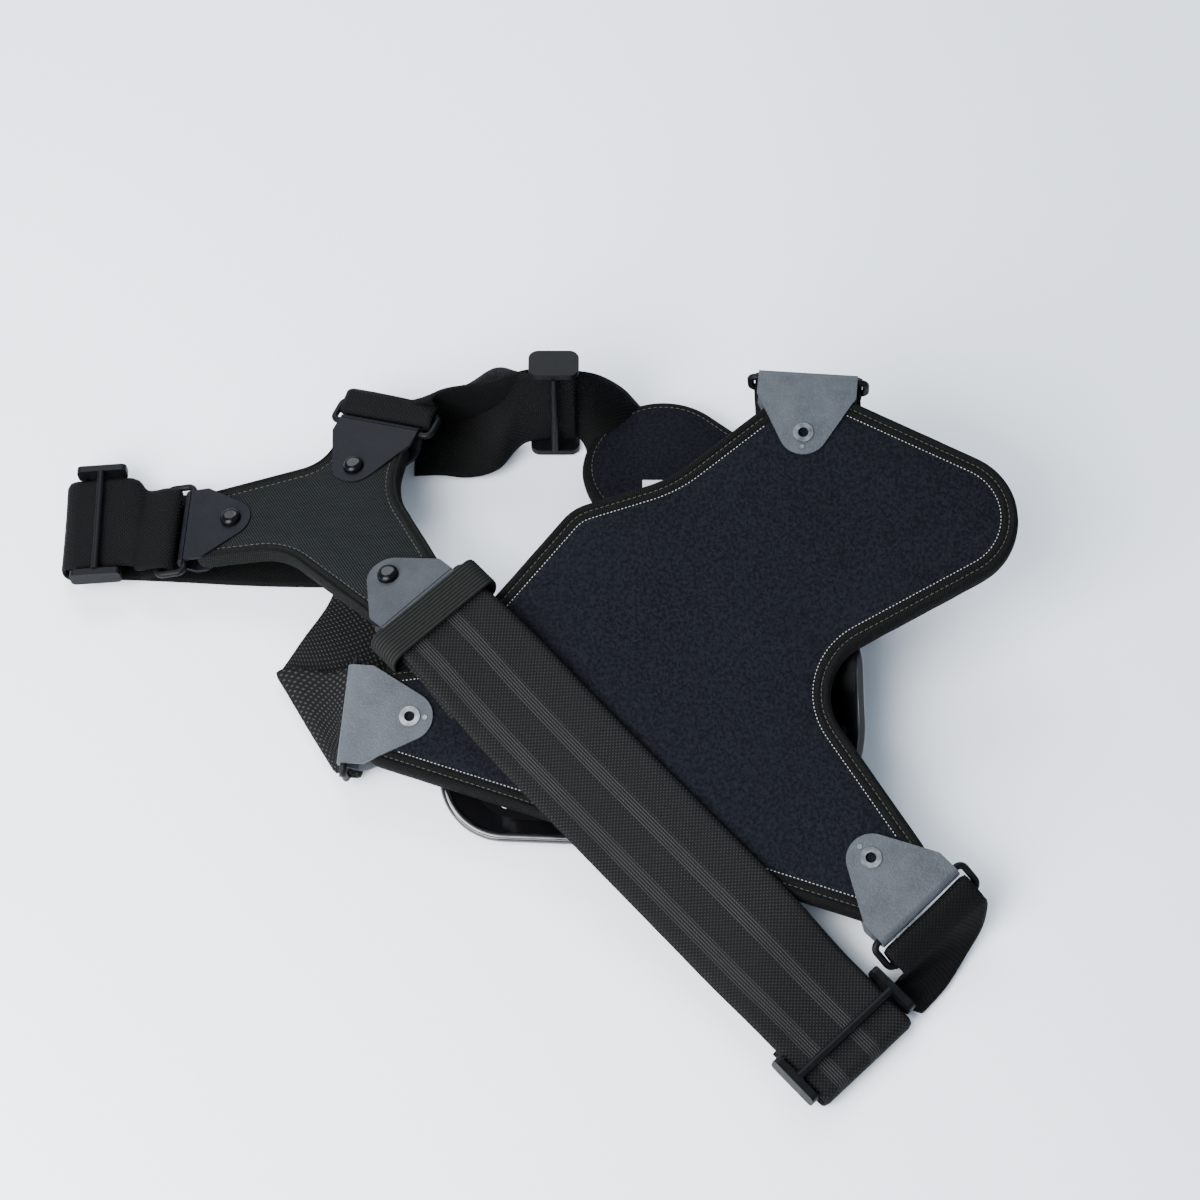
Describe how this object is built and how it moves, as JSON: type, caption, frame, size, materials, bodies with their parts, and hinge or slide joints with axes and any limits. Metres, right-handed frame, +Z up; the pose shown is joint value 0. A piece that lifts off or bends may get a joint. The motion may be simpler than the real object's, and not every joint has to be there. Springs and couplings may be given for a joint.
{
  "type": "padded chest harness",
  "caption": "Padded chest harness with a lobed panel on a moulded shell, a three-armed yoke, wide webbing straps, wire rings, sliders and snap tabs.",
  "frame": {"origin": "on the surface the harness lies on, under the middle of its bounding box", "axes": "+X along the longest extent, from the left strap towards the panel; +Z up from the surface; the pictured side is seen from -Y and above"},
  "size_m": [0.449, 0.3758, 0.0809],
  "materials": {
    "neoprene": "matt knitted face of neoprene",
    "foam": "closed-cell foam",
    "binding": "woven edge tape",
    "lining": "plain woven lining",
    "twill": "ribbed woven face",
    "leatherette": "smooth coated fabric",
    "black_steel": "black painted wire",
    "cap_black": "satin black lacquer",
    "plated_steel": "dull nickel plate",
    "shell_plastic": "gloss black moulding",
    "elastic": "ribbed elastic",
    "label_cloth": "small plain grey cloth tag",
    "webbing": "heavy woven webbing with ribbed stripes"
  },
  "bodies": {
    "harness": {"carry_shell": "shell_plastic", "cross_strap": "webbing", "front_strap": "webbing", "hollow_rivets": "plated_steel", "left_strap": "webbing", "link_strap": "webbing", "pad_backing": "lining", "pad_core": "foam", "pad_face": "neoprene", "pad_label": "label_cloth", "panel_backing": "lining", "panel_binding": "binding", "panel_core": "foam", "panel_liner": "neoprene", "panel_tab_left": "leatherette", "panel_tab_lower": "leatherette", "panel_tab_top": "leatherette", "shell_rivets": "plated_steel", "shell_screws": "plated_steel", "shoulder_strap": "webbing", "snap_studs": "plated_steel", "tab_pins": "plated_steel", "tee_nuts": "plated_steel", "upper_strap": "webbing", "yoke_binding": "binding", "yoke_core": "foam", "yoke_face": "twill", "yoke_liner": "lining", "yoke_tab_left": "leatherette", "yoke_tab_lower": "leatherette", "yoke_tab_upper": "leatherette"},
    "flap_left": {"snap_flap_left": "leatherette", "snap_cap_left": "cap_black", "snap_socket_left": "plated_steel"},
    "flap_upper": {"snap_flap_upper": "leatherette", "snap_cap_upper": "cap_black", "snap_socket_upper": "plated_steel"},
    "flap_lower": {"snap_flap_lower": "leatherette", "snap_cap_lower": "cap_black", "snap_socket_lower": "plated_steel"},
    "panel_ring_top": {"panel_ring_top": "black_steel"},
    "panel_ring_left": {"panel_ring_left": "black_steel"},
    "panel_ring_lower": {"panel_ring_lower": "black_steel"},
    "yoke_ring_left": {"yoke_ring_left": "black_steel"},
    "yoke_ring_upper": {"yoke_ring_upper": "black_steel"},
    "yoke_ring_lower": {"yoke_ring_lower": "black_steel"},
    "front_slider": {"front_slider": "black_steel"},
    "left_slider": {"left_slider": "black_steel"},
    "upper_slider": {"upper_slider": "black_steel"},
    "keeper": {"keeper_loop": "elastic"}
  },
  "joints": [
    {"name": "flap_left_hinge", "type": "hinge", "parent": "harness", "child": "flap_left", "pos_m": [-0.16294, 0.09884, 0.01734], "axis": [0, -0.9925, 0.1219], "range_deg": [0, 60]},
    {"name": "flap_upper_hinge", "type": "hinge", "parent": "harness", "child": "flap_upper", "pos_m": [-0.07282, 0.14946, 0.02944], "axis": [-0.9023, 0.3656, -0.2282], "range_deg": [0, 60]},
    {"name": "flap_lower_hinge", "type": "hinge", "parent": "harness", "child": "flap_lower", "pos_m": [-0.04892, 0.03875, 0.04789], "axis": [0.7169, 0.6945, 0.0604], "range_deg": [0, 60]},
    {"name": "panel_ring_top_swing", "type": "hinge", "parent": "harness", "child": "panel_ring_top", "pos_m": [0.13097, 0.14033, 0.07631], "axis": [0.9907, -0.1213, 0.0609], "range_deg": [-2, 2]},
    {"name": "panel_ring_left_swing", "type": "hinge", "parent": "harness", "child": "panel_ring_left", "pos_m": [-0.07905, -0.00852, 0.02309], "axis": [0.0868, 0.969, 0.2315], "range_deg": [-2, 2]},
    {"name": "panel_ring_lower_swing", "type": "hinge", "parent": "harness", "child": "panel_ring_lower", "pos_m": [0.17099, -0.103, 0.02372], "axis": [-0.7286, -0.6502, -0.2155], "range_deg": [-2, 2]},
    {"name": "yoke_ring_left_swing", "type": "hinge", "parent": "harness", "child": "yoke_ring_left", "pos_m": [-0.16231, 0.09845, 0.01421], "axis": [0, 0.9925, -0.1219], "range_deg": [-2, 2]},
    {"name": "yoke_ring_upper_swing", "type": "hinge", "parent": "harness", "child": "yoke_ring_upper", "pos_m": [-0.07218, 0.14908, 0.0263], "axis": [0.9023, -0.3656, 0.2282], "range_deg": [-2, 2]},
    {"name": "yoke_ring_lower_swing", "type": "hinge", "parent": "harness", "child": "yoke_ring_lower", "pos_m": [-0.04828, 0.03837, 0.04475], "axis": [-0.7169, -0.6945, -0.0604], "range_deg": [-2, 2]},
    {"name": "front_slider_slide", "type": "slide", "parent": "harness", "child": "front_slider", "axis": [-0.6842, 0.7209, 0.1103], "range_m": [0, 0.014]},
    {"name": "left_slider_slide", "type": "slide", "parent": "harness", "child": "left_slider", "axis": [-0.9977, -0.0499, -0.0469], "range_m": [0, 0.002]},
    {"name": "upper_slider_slide", "type": "slide", "parent": "harness", "child": "upper_slider", "axis": [-1, 0, 0], "range_m": [0, 0.006]},
    {"name": "keeper_slide", "type": "slide", "parent": "harness", "child": "keeper", "axis": [0.6875, -0.7245, -0.0499], "range_m": [0, 0.0013]}
  ]
}
